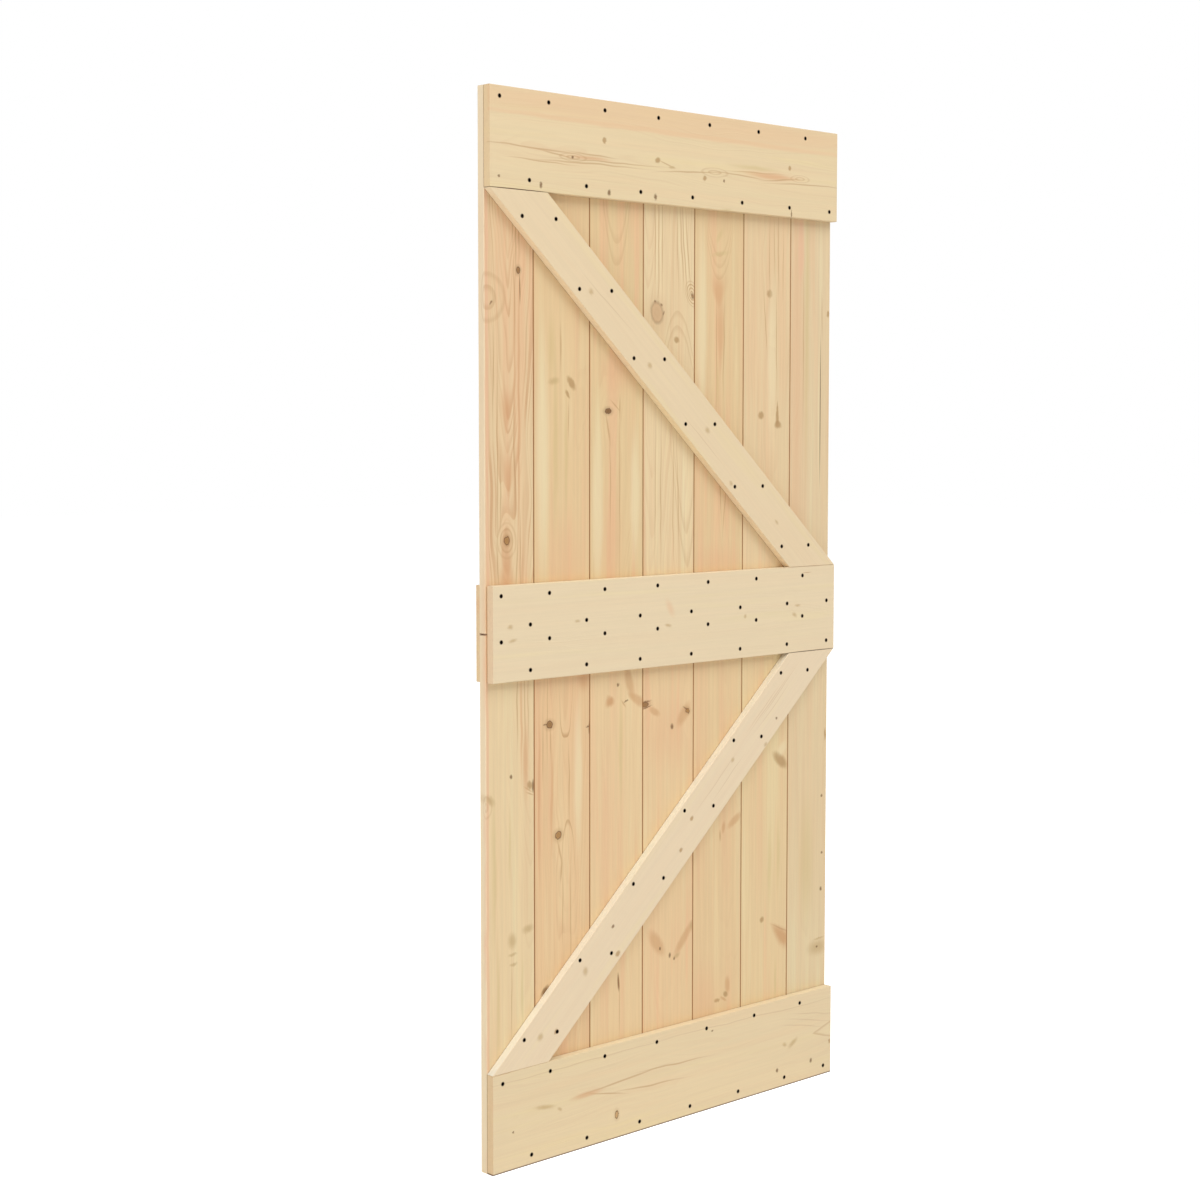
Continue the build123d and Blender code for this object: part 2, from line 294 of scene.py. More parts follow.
# Marks by board, in the order in which they are laid. A row names a kind and
# gives its spots, in millimetres from the door's middle and bottom: place
# across the door, height, half length along the grain and half width, and then
# turn from the grain in degrees and taper, which narrows it towards its far end
Mark = namedtuple("Mark", "across height length width turn taper", defaults=[0, 0])
MARKS = {
    "upper_plank_1": [
        # Painted light on the door's left side face
        ("pale", (-500, 1579, 700, 1.5)),
        # Painted shade in the joint between the upper and lower planks
        ("gap_shade", (-500, 1058, 2, 30)),
        ("blush", (-494, 1579, 700, 4)),
        # Painted light, stronger at the top of the left side face
        ("pale", (-500, 2010, 110, 3)),
        ("warm", (-500, 1110, 80, 7), (-418, 1700, 260, 16)),
        ("line", (-413, 1850, 60, 1.6), (-421, 1840, 80, 1.4), (-429, 1860, 50, 1.2),
         (-404, 1870, 45, 1.1)),
        ("crack", (-411, 1722, 26, 1.3, 1)),
        ("line", (-424, 1700, 70, 1.2, 1)),
        ("dark", (-483, 1692, 5, 2, -30)),
        ("flame", (-413, 1570, 130, 2.4), (-424, 1540, 140, 2)),
        ("line", (-478, 1560, 70, 1.3, -1), (-468, 1400, 160, 1.4), (-461, 1335, 60, 1.3),
         (-425, 1390, 110, 1.3, 1)),
        ("flame", (-414, 1390, 140, 2.2), (-445, 1480, 38, 9, 0, -0.8),
         (-440, 1355, 40, 8, 0, -0.8), (-445, 1165, 44, 15, 0, 0.6)),
        ("line", (-468, 1190, 36, 1.5, 5), (-419, 1190, 40, 1.4, -3), (-410, 1200, 60, 1.3, -1)),
    ],
    "upper_plank_2": [
        ("smudge", (-323, 1546, 6, 12, 10)),
        ("blotch", (-276, 1543, 15, 7, 38), (-286, 1521, 9, 3.5, 30)),
        ("olive", (-328, 1612, 48, 8)),
        ("line", (-304, 1612, 36, 1.6)),
        ("olive", (-318, 1420, 130, 6), (-290, 1400, 90, 4)),
        ("line", (-284, 1470, 30, 1.2)),
        ("warm", (-290, 1190, 70, 34)),
        ("cream", (-352, 1400, 200, 14)),
    ],
    "upper_plank_3": [
        ("warm", (-148, 1566, 34, 40)),
        ("line", (-156, 1500, 13, 1.4, 50), (-143, 1496, 18, 1.4), (-175, 1452, 26, 1.6, 12),
         (-170, 1330, 90, 1.3), (-144, 1300, 130, 1.2)),
        ("warm", (-170, 1220, 90, 26)),
        ("cream", (-205, 1300, 160, 12), (-100, 1320, 110, 12)),
    ],
    "upper_plank_4": [
        ("pin", (-44, 1712, 3, 3), (-25, 1706, 2.4, 3), (-19, 1690, 4, 2, -30)),
        ("blotch", (19, 1636, 6, 7, -20)),
        ("warm", (-76, 1340, 160, 4)),
        # Raised grain: grain lines paired with cream strips, which are painted highlight, while the
        # lines also carry painted shade
        ("line", (-44, 1830, 80, 1.2)),
        ("cream", (-39, 1830, 90, 1.8)),
        ("line", (-34, 1820, 90, 1.3)),
        ("cream", (-28, 1820, 80, 1.8)),
        ("line", (-23, 1830, 80, 1.2), (21, 1830, 70, 1.2, 2)),
        ("cream", (28, 1830, 75, 1.8, 3)),
        ("line", (34, 1825, 80, 1.3, 4), (41, 1820, 80, 1.2, 5)),
        ("cream", (46, 1820, 75, 1.8, 5)),
        ("line", (52, 1815, 70, 1.3, 6)),
        ("dark", (66, 1728, 6, 4, 20)),
        ("line", (-42, 1330, 120, 1.3), (-26, 1320, 130, 1.2), (10, 1300, 110, 1.2),
         (24, 1300, 120, 1.3, 2)),
        ("cream", (40, 1320, 110, 3)),
    ],
    "upper_plank_5": [
        ("olive", (147, 1857, 13, 5, -35), (150, 1820, 4, 22, 10)),
        ("flame", (145, 1740, 28, 14, 0, -0.6), (150, 1650, 70, 9, 0, -0.5)),
        ("line", (138, 1610, 100, 1.4), (160, 1620, 90, 1.6, -1)),
        ("olive", (142, 1545, 42, 5)),
        ("cream", (94, 1640, 200, 12)),
        ("warm", (146, 1175, 26, 50)),
        ("line", (150, 1330, 60, 1.4, 4), (165, 1290, 50, 1.2, -6)),
    ],
    "upper_plank_6": [
        ("blotch", (303, 1743, 8, 8, 30), (277, 1482, 8, 8), (331, 1463, 8, 10, 0, 0.3),
         (329, 1488, 26, 3.6, 0, 0.8)),
        ("line", (302, 1810, 80, 1.1), (318, 1835, 60, 1.1), (330, 1830, 70, 1.3),
         (345, 1800, 60, 1), (290, 1680, 60, 1.1, 5)),
        ("cream", (310, 1600, 150, 12)),
        ("line", (326, 1640, 90, 1)),
    ],
    "upper_plank_7": [
        ("warm", (392, 1560, 430, 21)),
        ("blush", (403, 1845, 70, 10)),
        ("olive", (424, 1700, 260, 7)),
        ("line", (413, 1650, 150, 1.3)),
        ("cream", (464.5, 1490, 150, 1.6)),
        # Painted shade inside a crack
        ("gap_shade", (470, 1490, 142, 1.1)),
        ("line", (474, 1705, 40, 1.2, 1)),
        ("blotch", (494, 1707, 7, 4)),
    ],
    "lower_plank_1": [
        # Painted light on the door's left side face
        ("pale", (-500, 529, 700, 1.5)),
        # Painted shade in the joint between the upper and lower planks
        ("gap_shade", (-500, 1058, 2, 30)),
        ("blush", (-496, 529, 700, 3.5)),
        ("warm", (-500, 1000, 80, 7)),
        ("pin", (-436, 776, 4, 3)),
        ("smudge", (-434, 451, 13, 9, 5), (-393, 469, 7, 12, 8), (-433, 424, 3, 9, 6),
         (-431, 404, 3, 8, 6)),
        ("dark", (-379, 752, 11, 3)),
        ("blotch", (-388, 754, 8, 6, 30)),
        ("line", (-391, 746, 10, 1.6, 60), (-386, 737, 9, 1.4, 70), (-419, 910, 60, 1.5)),
        ("flame", (-409, 880, 90, 2.4)),
        ("line", (-400, 900, 70, 1.2), (-391, 910, 60, 1.1)),
        ("flame", (-398, 800, 60, 6)),
        ("olive", (-440, 640, 60, 3), (-470, 330, 90, 4)),
        ("line", (-436, 330, 60, 1)),
        ("olive", (-408, 340, 60, 3), (-480, 600, 120, 5)),
        ("smudge", (-490, 735, 7, 12, -40)),
    ],
    "lower_plank_2": [
        ("dark", (-347, 870, 1.5, 5, 10), (-228, 853, 12, 2), (-232, 855, 1.6, 4),
         (-349, 337, 11, 5, -45)),
        ("line", (-309, 612, 22, 2, 14), (-304, 572, 20, 1.8, -3)),
        ("flame", (-243, 955, 22, 13), (-330, 720, 90, 3), (-363, 720, 150, 3)),
        ("line", (-283, 745, 60, 1.6, 1), (-341, 880, 70, 1.1), (-353, 820, 60, 1.1),
         (-332, 835, 25, 1.3), (-300, 500, 60, 1.2), (-280, 480, 90, 1.2)),
        ("cream", (-258, 760, 130, 10)),
    ],
    "lower_plank_3": [
        ("pin", (-148, 933, 3.5, 3)),
        ("wing", (-172, 902, 11, 11, 20, 0.4), (-170, 900, 7, 8, 20)),
        ("dark", (-125, 898, 1.8, 6, 20)),
        ("line", (-132, 893, 8, 1.6, 40)),
        ("wing", (-116, 937, 34, 10, 15), (-95, 899, 24, 9, 60, 0.3)),
        ("crack", (-146, 318, 17, 2.6, 4)),
        ("line", (-143, 262, 44, 1)),
        ("olive", (-140, 800, 90, 5)),
    ],
    "lower_plank_4": [
        ("warm", (-5, 820, 60, 50)),
        ("dark", (-70, 891, 1.6, 14, 8), (-66, 879, 1.6, 13, 14)),
        ("wing", (-44, 869, 16, 7, 62)),
        ("pin", (8, 833, 5, 4)),
        ("wing", (43, 856, 26, 12, -38)),
        ("dark", (48, 868, 1.4, 7, -30)),
        ("wing", (-36, 381, 31, 13, 37), (44, 378, 38, 9, -40)),
        ("smudge", (68, 402, 9, 5)),
        ("pin", (-26, 368, 3, 2.6), (3, 349, 5, 3), (16, 340, 3, 2.6)),
        ("smudge", (24, 345, 8, 4, -70)),
    ],
    "lower_plank_5": [
        ("wing", (199, 611, 22, 8, -58), (165, 600, 12, 5, -10)),
        ("line", (155, 583, 10, 2.5)),
        ("blotch", (147, 226, 4, 8)),
        ("wing", (179, 254, 18, 7, 3)),
        ("blotch", (173, 235, 5, 7, -40)),
        ("wing", (167, 226, 3, 10, -30)),
        ("warm", (105, 235, 60, 34)),
    ],
    "lower_plank_6": [
        ("blotch", (345, 727, 26, 11, 52)),
        ("cream", (352, 752, 10, 16, 50)),
        ("blotch", (288, 380, 6, 6)),
        ("wing", (349, 338, 36, 15, 48, 0.5), (352, 334, 26, 9, 48, 0.4)),
        ("line", (347, 352, 24, 1.5, 66)),
        ("olive", (312, 500, 70, 5), (340, 520, 60, 5), (333, 236, 36, 3)),
    ],
    "lower_plank_7": [
        ("olive", (432, 490, 110, 18)),
        ("smudge", (472, 288, 14, 26)),
        ("pin", (471, 290, 2.4, 3)),
        ("smudge", (478, 308, 2, 14, 4)),
        ("blotch", (494, 770, 12, 3)),
        ("pin", (484, 632, 3, 3), (486, 502, 2.6, 3), (483, 420, 4, 3.6)),
    ],
    "top_rail": [
        ("band", (0, 2078, 640, 27), (0, 2053, 640, 5)),
        ("line", (-400, 1991, 110, 1.3, -1), (-240, 1972, 120, 1.4, 1),
         (-190, 1979, 120, 1.2, 1.5), (-330, 1984, 40, 1.5, -7), (-370, 1967, 70, 1.1, -1)),
        ("flame", (-245, 1983, 48, 3.6)),
        ("line", (-230, 1990, 50, 1.3, -2)),
        ("pin", (-288, 1981, 3, 2.4)),
        ("blotch", (-203, 2021, 5, 6), (-55, 1995, 7, 5, 20)),
        ("line", (-30, 1990, 20, 1.3, -15)),
        ("smudge", (-14, 1984, 8, 2.4)),
        ("blotch", (82, 1970, 5, 5)),
        ("dark", (140, 1969, 2.4, 3)),
        ("line", (40, 1979, 80, 1.3, 4), (190, 1984, 60, 1.3, -2), (240, 1994, 70, 1.3, 2)),
        ("flame", (287, 1990, 58, 4.5)),
        ("warm", (287, 1990, 70, 8)),
        ("line", (320, 1985, 50, 1.3, 5), (400, 1980, 110, 1.1, 2)),
        ("olive", (230, 2003, 60, 4)),
        ("blotch", (345, 2012, 4, 5)),
        ("pin", (-371, 1921, 3.2, 5.5), (-190, 1920, 3.6, 5.5), (-61, 1921, 3.6, 5.5),
         (-477, 1930, 3, 2.4)),
        # Painted shade in the gap where the upper brace butts against the top rail
        ("gap_shade", (-434, 1908, 84, 1.5)),
        ("dark", (351, 1915, 1.6, 9)),
        ("olive", (150, 1909, 14, 2)),
    ],
    "front_middle_rail": [
        ("smudge", (-452, 1071, 6, 4), (-446, 1044, 9, 3, 10), (-276, 1072, 6, 2.4)),
        ("warm", (-16, 1084, 7, 16, 30)),
        ("smudge", (-22, 1048, 8, 3, -10), (211, 1053, 4, 4), (379, 1067, 8, 2.6),
         (369, 1047, 7, 4, -30)),
        ("line", (410, 1138, 12, 1), (427, 1152, 76, 1.1)),
        # Painted shade along the middle rail's lower edge at the right, where the lower brace meets it
        ("gap_shade", (427, 964, 84, 1.4)),
    ],
    "back_middle_rail": [
        ("smudge", (240, 1090, 12, 7)),
        ("pin", (-310, 1020, 5, 4)),
    ],
    "bottom_rail": [
        # Painted shade along the bottom rail's foot, where it stands on the floor
        ("gap_shade", (0, 0, 2000, 2.8)),
        ("line", (-427, 198, 76, 1.3)),
        ("saw", (-250, 178, 280, 1.1), (240, 175, 270, 1.1, -1.1)),
        ("line", (-150, 118, 100, 1.5, 3), (0, 121, 80, 1.3, -2), (-195, 99, 42, 1.5, -13),
         (-70, 91, 80, 1.5, -3)),
        ("flame", (-250, 110, 34, 5, 1)),
        ("smudge", (-365, 108, 22, 4, -8), (-325, 95, 6, 3, -30)),
        ("pin", (-448, 76, 2.4, 2.4), (114, 169, 3, 2)),
        ("smudge", (345, 93, 6, 4, -20), (372, 92, 14, 5, 30)),
        ("pin", (321, 40, 3.4, 4.5), (433, 40, 3.4, 4.5)),
        ("blotch", (496, 72, 3, 5)),
        ("saw", (420, 135, 70, 1.2, -12), (440, 146, 60, 1.2, -10), (400, 126, 60, 1.2, -12)),
    ],
    "upper_brace": [
        ("smudge", (-239, 1723, 6, 5), (-76, 1581, 6, 5), (93, 1450, 7, 5), (165, 1338, 5, 4),
         (309, 1252, 6, 3)),
        ("saw", (80, 1430, 70, 0.9), (-190, 1700, 70, 1, 3)),
    ],
    "lower_brace": [
        ("pin", (312, 824, 3, 3)),
        ("smudge", (278, 770, 5, 4)),
        ("pin", (-179, 442, 4, 3)),
        ("blotch", (-165, 384, 7, 5)),
        ("smudge", (174, 747, 5, 4)),
        ("blotch", (49, 636, 6, 4), (17, 573, 5, 4)),
        ("smudge", (-255, 363, 8, 6, 50), (-377, 252, 7, 6)),
        ("blotch", (-335, 255, 6, 4, 10)),
        ("saw", (318, 880, 70, 0.9), (290, 860, 80, 0.9), (270, 850, 60, 0.9),
         (300, 850, 60, 0.9), (130, 710, 70, 0.9), (160, 710, 60, 0.9)),
    ],
}

# Shades of knot: the heart, and how dark the bark line round it is
SHADES = {
    "dark": (screen(112, 72, 18), 0.9),
    "umber": (screen(140, 98, 46), 0.85),
    "brown": (screen(162, 116, 58), 0.75),
    "tan": (screen(206, 170, 128), 0.25),
    "ringed": (screen(190, 150, 98), 0.9),
}

# Knots by board: shade, place across the door, height, half length along the
# grain, half width, turn, and how far the rings bulge outwards round it
Knot = namedtuple("Knot", "shade across height length width turn bulge")
KNOTS = {
    "upper_plank_1": [
        Knot("umber", -414, 1757, 6, 4.5, 0, 3),
        Knot("brown", -445, 1237, 7.5, 7, 0, 14),
    ],
    "upper_plank_3": [Knot("dark", -176, 1488, 5, 8, 0, 8)],
    "upper_plank_4": [Knot("tan", -38, 1690, 22, 17, 15, 6)],
    "lower_plank_2": [
        Knot("umber", -335, 869, 6.5, 8, 0, 5),
        Knot("brown", -312, 645, 7.5, 8, 20, 8),
    ],
    "lower_plank_4": [
        Knot("umber", -71, 885, 4.5, 10, 10, 6),
        Knot("brown", 54, 862, 4.5, 6, -30, 6),
    ],
    "bottom_rail": [Knot("ringed", -168, 49, 4.4, 7.6, 0, 5)],
}

# Fine figure in the grain, as nested loops or arches: place across the door,
# height, half length and width of the outer loop, or of the first arch, how
# many lines, how dark, turn, and for an arch its roundness, from V to U
FIGURE_PARTS = "across height length width lines strength turn roundness"
Figure = namedtuple("Figure", FIGURE_PARTS, defaults=[0, 0])
FIGURES = {
    "upper_plank_1": [
        Figure(-493, 1702, 52, 50, 2, 0.3),
        Figure(-445, 1237, 38, 27, 3, 0.34),
    ],
    "upper_plank_3": [Figure(-152, 1777, 44, 24, 2, 0.18, 0, 2.4)],
    "upper_plank_4": [
        Figure(64, 1732, 30, 20, 4, 0.6, 25),
        Figure(22, 1698, 30, 26, 2, 0.2, 180, 2.0),
        Figure(52, 1160, 70, 20, 2, 0.2, 2, 1.8),
    ],
    "upper_plank_5": [Figure(146, 1764, 24, 22, 3, 0.16, 0, 2.2)],
    "lower_plank_1": [Figure(-506, 722, 26, 24, 2, 0.24)],
    "lower_plank_2": [
        Figure(-292, 838, 22, 13, 1, 0.6, 0, 4.0),
        Figure(-286, 675, 26, 11, 1, 0.45, 180, 2.4),
    ],
    "top_rail": [
        Figure(-287, 1981, 40, 9, 2, 0.34),
        Figure(112, 1984, 44, 11, 2, 0.28),
        Figure(378, 1991, 34, 9, 2, 0.28),
    ],
    "bottom_rail": [Figure(436, 100, 44, 14, 1, 0.34, 0, 1.2)],
}


class Bench:
    """Puts nodes into one tree. An input takes a socket or a plain value."""

    def __init__(self, tree):
        self.tree = tree

    def feed(self, socket, value):
        """Joins a socket to an input, or writes a plain value there."""
        if isinstance(value, bpy.types.NodeSocket):
            self.tree.links.new(value, socket)
        elif socket.type == "RGBA" and len(value) == 3:
            socket.default_value = (*value, 1)
        elif socket.type == "VECTOR" and isinstance(value, float):
            socket.default_value = (value, value, value)
        else:
            socket.default_value = value

    def add(self, kind, *values, **settings):
        """A new node with its first inputs filled in order."""
        node = self.tree.nodes.new(kind)
        for name, value in settings.items():
            setattr(node, name, value)
        for socket, value in zip(node.inputs, values):
            if value is not None:
                self.feed(socket, value)
        return node

    def calc(self, operation, *values):
        """A number worked out from others."""
        return self.add("ShaderNodeMath", *values, operation=operation).outputs[0]

    def move(self, operation, *values):
        """A vector worked out from others."""
        return self.add("ShaderNodeVectorMath", *values, operation=operation).outputs[0]

    def scale(self, vector, amount):
        """A vector made longer or shorter."""
        node = self.add("ShaderNodeVectorMath", vector, operation="SCALE")
        self.feed(node.inputs["Scale"], amount)
        return node.outputs[0]

    def size(self, operation, *values):
        """The length of a vector, or its dot product with another."""
        return self.add("ShaderNodeVectorMath", *values, operation=operation).outputs["Value"]

    def parts(self, vector):
        """The three numbers in a vector."""
        return self.add("ShaderNodeSeparateXYZ", vector).outputs

    def fade(self, value, start, end, first=0.0, last=1.0):
        """A smooth change from first to last as the value goes from start to end."""
        values = (value, start, end, first, last)
        node = self.add("ShaderNodeMapRange", *values, interpolation_type="SMOOTHSTEP")
        return node.outputs[0]

    def mix(self, amount, under, over, way="MIX"):
        """One colour laid over another."""
        node = self.add("ShaderNodeMix", data_type="RGBA", blend_type=way)
        colours = [socket for socket in node.inputs if socket.type == "RGBA"]
        self.feed(node.inputs[0], amount)
        self.feed(colours[0], under)
        self.feed(colours[1], over)
        return next(socket for socket in node.outputs if socket.type == "RGBA")

    def noise(self, place, stretch, seed, detail=1.0, output=0):
        """Noise in lumps of the given millimetres along, across and through the board."""
        lumps = tuple(1 / part for part in stretch)
        point = self.move("MULTIPLY_ADD", place, lumps, seed)
        return self.add("ShaderNodeTexNoise", point, None, 1.0, detail).outputs[output]

    def noise_line(self, value, scale, detail):
        """Noise that changes along a single number."""
        settings = {"noise_dimensions": "1D"}
        return self.add("ShaderNodeTexNoise", None, value, scale, detail, **settings).outputs[0]

    def shift(self, place, stretch, seed, reach, detail=1.0):
        """Noise as a shift to either side, at most half the reach."""
        noise = self.noise(place, stretch, seed, detail, 1)
        return self.move("MULTIPLY", self.move("SUBTRACT", noise, (0.5, 0.5, 0.5)), reach)

    def place(self, group, **values):
        """A group's node, with its inputs given by name."""
        node = self.add("ShaderNodeGroup", node_tree=group)
        for name, value in values.items():
            self.feed(node.inputs[name], value)
        return node

    def lay(self, group, **values):
        """The colour that a group leaves after it has laid something on one."""
        return self.place(group, **values).outputs["Colour"]


# Sockets of every group that lays something at a spot, and of its line or tone
SPOT = {"Colour": "Color", "Place": "Vector", "Centre": "Vector", "Size": "Vector", "Turn": "Float"}
INK = {"Tone": "Color", "Strength": "Float"}


def new_group(name, inputs, outputs):
    """An empty group with these sockets, with its bench, start and end."""
    group = bpy.data.node_groups.new(name, "ShaderNodeTree")
    for direction, sockets in (("INPUT", inputs), ("OUTPUT", outputs)):
        for label, kind in sockets.items():
            kind = "NodeSocket" + kind
            group.interface.new_socket(label, in_out=direction, socket_type=kind)
    bench = Bench(group)
    start = bench.add("NodeGroupInput").outputs
    end = bench.add("NodeGroupOutput").inputs
    return group, bench, start, end


def spot_place(bench, start):
    """A place in the spot's own axes, where its rim is 1 away from its centre."""
    away = bench.move("SUBTRACT", start["Place"], start["Centre"])
    turned = bench.add("ShaderNodeVectorRotate", away, rotation_type="Z_AXIS")
    bench.feed(turned.inputs["Angle"], start["Turn"])
    return bench.move("DIVIDE", turned.outputs[0], start["Size"])


def ink(bench, start, end, amount):
    """Lays a group's tone on its colour, by an amount that its strength limits."""
    amount = bench.calc("MULTIPLY", amount, start["Strength"])
    bench.feed(end["Colour"], bench.mix(amount, start["Colour"], start["Tone"]))


def swerve_group():
    """Moves the pattern so that rings bulge and grain flows round a knot."""
    vectors = {"Place": "Vector", "Centre": "Vector", "Reach": "Vector"}
    inputs = {**vectors, "Spread": "Float", "Bulge": "Float"}
    group, bench, start, end = new_group("Grain round a knot", inputs, {"Place": "Vector"})
    away = bench.move("SUBTRACT", start["Place"], start["Centre"])
    scaled = bench.move("DIVIDE", away, start["Reach"])
    far = bench.size("DOT_PRODUCT", scaled, scaled)
    close = bench.calc("EXPONENT", bench.calc("MULTIPLY", far, -1.0))
    sideways = bench.scale(bench.move("MULTIPLY", away, (0, -1, 0)), start["Spread"])
    outwards = bench.scale((0, 0, -1), start["Bulge"])
    shift = bench.scale(bench.move("ADD", sideways, outwards), close)
    bench.feed(end["Place"], bench.move("ADD", start["Place"], shift))
    return group


def pine_group():
    """Growth rings round a pith that wanders, with fibres and soft bands."""
    inputs = {
        **dict.fromkeys(("Place", "Pith"), "Vector"),
        **dict.fromkeys(("Lean", "Spacing", "Seed"), "Float"),
        **dict.fromkeys(("Face", "Ring", "Warm", "Pale"), "Color"),
        **dict.fromkeys(("Rings", "Warmth", "Streaks"), "Float"),
    }
    outputs = {"Colour": "Color", "Height": "Float"}
    group, bench, start, end = new_group("Pine", inputs, outputs)
    place = start["Place"]
    seed = start["Seed"]

    # Distance from the pith, which wanders slowly along the board
    wander = bench.shift(place, (420, 90, 90), seed, (0, 60, 40), 2.0)
    apart = bench.move("ADD", bench.move("SUBTRACT", place, start["Pith"]), wander)
    parts = bench.parts(apart)
    nearer = bench.calc("MULTIPLY_ADD", parts["X"], start["Lean"], parts["Z"])
    squares = [bench.calc("POWER", side, 2.0) for side in (parts["Y"], nearer)]
    radius = bench.calc("SQRT", bench.calc("ADD", *squares))

    # Rings of uneven width: slow dark rise through the year, then a sharp end
    count = bench.calc("DIVIDE", radius, start["Spacing"])
    uneven = bench.noise_line(bench.calc("ADD", count, seed), 0.45, 1.0)
    count = bench.calc("MULTIPLY_ADD", uneven, 2.2, count)
    part = bench.calc("FRACT", count)
    late = bench.calc("MULTIPLY", bench.fade(part, 0.3, 0.86), bench.fade(part, 0.9, 1.0, 1.0, 0.0))
    year = bench.calc("MULTIPLY_ADD", bench.calc("FLOOR", count), 0.73, seed)
    mood = bench.noise_line(year, 1.0, 0.0)
    patch = bench.noise(place, (260, 22, 22), seed, 2.0)
    late = bench.calc("MULTIPLY", late, bench.fade(mood, 0.25, 0.7, 0.35, 1.0))
    late = bench.calc("MULTIPLY", late, bench.fade(patch, 0.32, 0.66, 0.25, 1.0))

    # Fibres, soft streaks and warm bands along the board
    fibre = bench.noise(place, (38, 0.9, 0.9), seed, 2.0)
    streak = bench.noise(place, (330, 5.5, 5.5), bench.calc("ADD", seed, 7.3), 2.0)
    tone = bench.noise(place, (520, 26, 60), bench.calc("ADD", seed, 3.1), 2.0)
    warm = bench.calc("MULTIPLY", bench.fade(tone, 0.48, 0.7), start["Warmth"])
    colour = bench.mix(warm, start["Face"], start["Warm"])
    colour = bench.mix(bench.fade(tone, 0.28, 0.46, 0.7, 0.0), colour, start["Pale"])
    colour = bench.mix(bench.calc("MULTIPLY", late, start["Rings"]), colour, start["Ring"])
    streak = bench.fade(streak, 0.3, 0.7, -0.028, 0.02)
    level = bench.calc("ADD", streak, bench.fade(fibre, 0.25, 0.75, -0.016, 0.016))
    level = bench.calc("MULTIPLY_ADD", level, start["Streaks"], 1.0)
    bench.feed(end["Colour"], bench.scale(colour, level))
    bench.feed(end["Height"], bench.calc("MULTIPLY_ADD", fibre, 0.5, late))
    return group


def mark_group():
    """A soft mark laid on the wood: a smudge, streak, pin knot or crack."""
    inputs = {**SPOT, "Taper": "Float", "Softness": "Float", **INK}
    group, bench, start, end = new_group("Mark", inputs, {"Colour": "Color"})
    along, across, depth = bench.parts(spot_place(bench, start))
    slimmer = bench.calc("SUBTRACT", 1.0, bench.calc("MULTIPLY", along, start["Taper"]))
    across = bench.calc("DIVIDE", across, bench.calc("MAXIMUM", slimmer, 0.15))
    far = bench.size("LENGTH", bench.add("ShaderNodeCombineXYZ", along, across, depth).outputs[0])
    inner = bench.calc("SUBTRACT", 1.0, start["Softness"])
    outer = bench.calc("ADD", 1.0, start["Softness"])
    ink(bench, start, end, bench.fade(far, inner, outer, 1.0, 0.0))
    return group


def knot_group():
    """The face of a knot: a halo, a brown heart with its own rings, a bark line."""
    inputs = {**SPOT, "Heart": "Color", "Rim": "Color", "Bark": "Float"}
    group, bench, start, end = new_group("Knot", inputs, {"Colour": "Color"})
    far = bench.size("LENGTH", spot_place(bench, start))
    halo = bench.calc("MULTIPLY", bench.fade(far, 0.9, 2.6, 1.0, 0.0), 0.3)
    colour = bench.mix(halo, start["Colour"], start["Heart"])
    inside = bench.fade(far, 0.85, 1.05, 1.0, 0.0)
    rings = bench.calc("PINGPONG", bench.calc("MULTIPLY", far, 3.0), 1.0)
    rings = bench.fade(rings, 0.2, 1.0, 0.8, 0.94)
    colour = bench.mix(bench.calc("MULTIPLY", inside, rings), colour, start["Heart"])
    bark = bench.calc("MULTIPLY", bench.fade(far, 0.72, 0.95), bench.fade(far, 1.0, 1.25, 1.0, 0.0))
    colour = bench.mix(bench.calc("MULTIPLY", bark, start["Bark"]), colour, start["Rim"])
    bench.feed(end["Colour"], colour)
    return group


def loops_group():
    """Nested closed lines round a spot, as where a board cuts near a knot."""
    inputs = {**SPOT, "Lines": "Float", **INK}
    group, bench, start, end = new_group("Loops", inputs, {"Colour": "Color"})
    far = bench.size("LENGTH", spot_place(bench, start))
    line = bench.calc("FRACT", bench.calc("MULTIPLY", far, start["Lines"]))
    line = bench.calc("MULTIPLY", bench.fade(line, 0.35, 0.8), bench.fade(line, 0.85, 1.0, 1.0, 0.0))
    ink(bench, start, end, bench.calc("MULTIPLY", line, bench.fade(far, 0.8, 1.05, 1.0, 0.0)))
    return group


def arches_group():
    """Nested lines that arch across the grain and run off along it."""
    inputs = {**SPOT, "Roundness": "Float", "Lines": "Float", **INK}
    group, bench, start, end = new_group("Arches", inputs, {"Colour": "Color"})
    along, across, depth = bench.parts(spot_place(bench, start))
    curve = bench.calc("POWER", bench.calc("ABSOLUTE", across), start["Roundness"])
    step = bench.calc("SUBTRACT", along, curve)
    line = bench.calc("FRACT", step)
    line = bench.calc("MULTIPLY", bench.fade(line, 0.0, 0.1), bench.fade(line, 0.15, 0.6, 1.0, 0.0))
    first = bench.fade(step, -0.02, 0.0)
    last = bench.fade(step, start["Lines"], bench.calc("ADD", start["Lines"], 0.01), 1.0, 0.0)
    run = bench.fade(along, 3.0, 6.0, 1.0, 0.0)
    run = bench.calc("MULTIPLY", run, bench.calc("MULTIPLY", first, last))
    near = bench.fade(bench.calc("ABSOLUTE", depth), 0.5, 1.5, 1.0, 0.0)
    ink(bench, start, end, bench.calc("MULTIPLY", bench.calc("MULTIPLY", line, run), near))
    return group


def coating_group():
    """Thin worn spots on the black screws."""
    outputs = {"Colour": "Color", "Roughness": "Float"}
    group, bench, start, end = new_group("Black coating", {"Coating": "Color"}, outputs)
    point = bench.add("ShaderNodeTexCoord").outputs["Object"]
    spots = bench.add("ShaderNodeTexNoise", point, None, 2600.0, 2.0).outputs[0]
    worn = bench.calc("MULTIPLY", bench.fade(spots, 0.55, 0.8), 0.4)
    bench.feed(end["Colour"], bench.mix(worn, start["Coating"], (0.012, 0.011, 0.01)))
    bench.feed(end["Roughness"], bench.fade(spots, 0.3, 0.7, 0.5, 0.7))
    return group


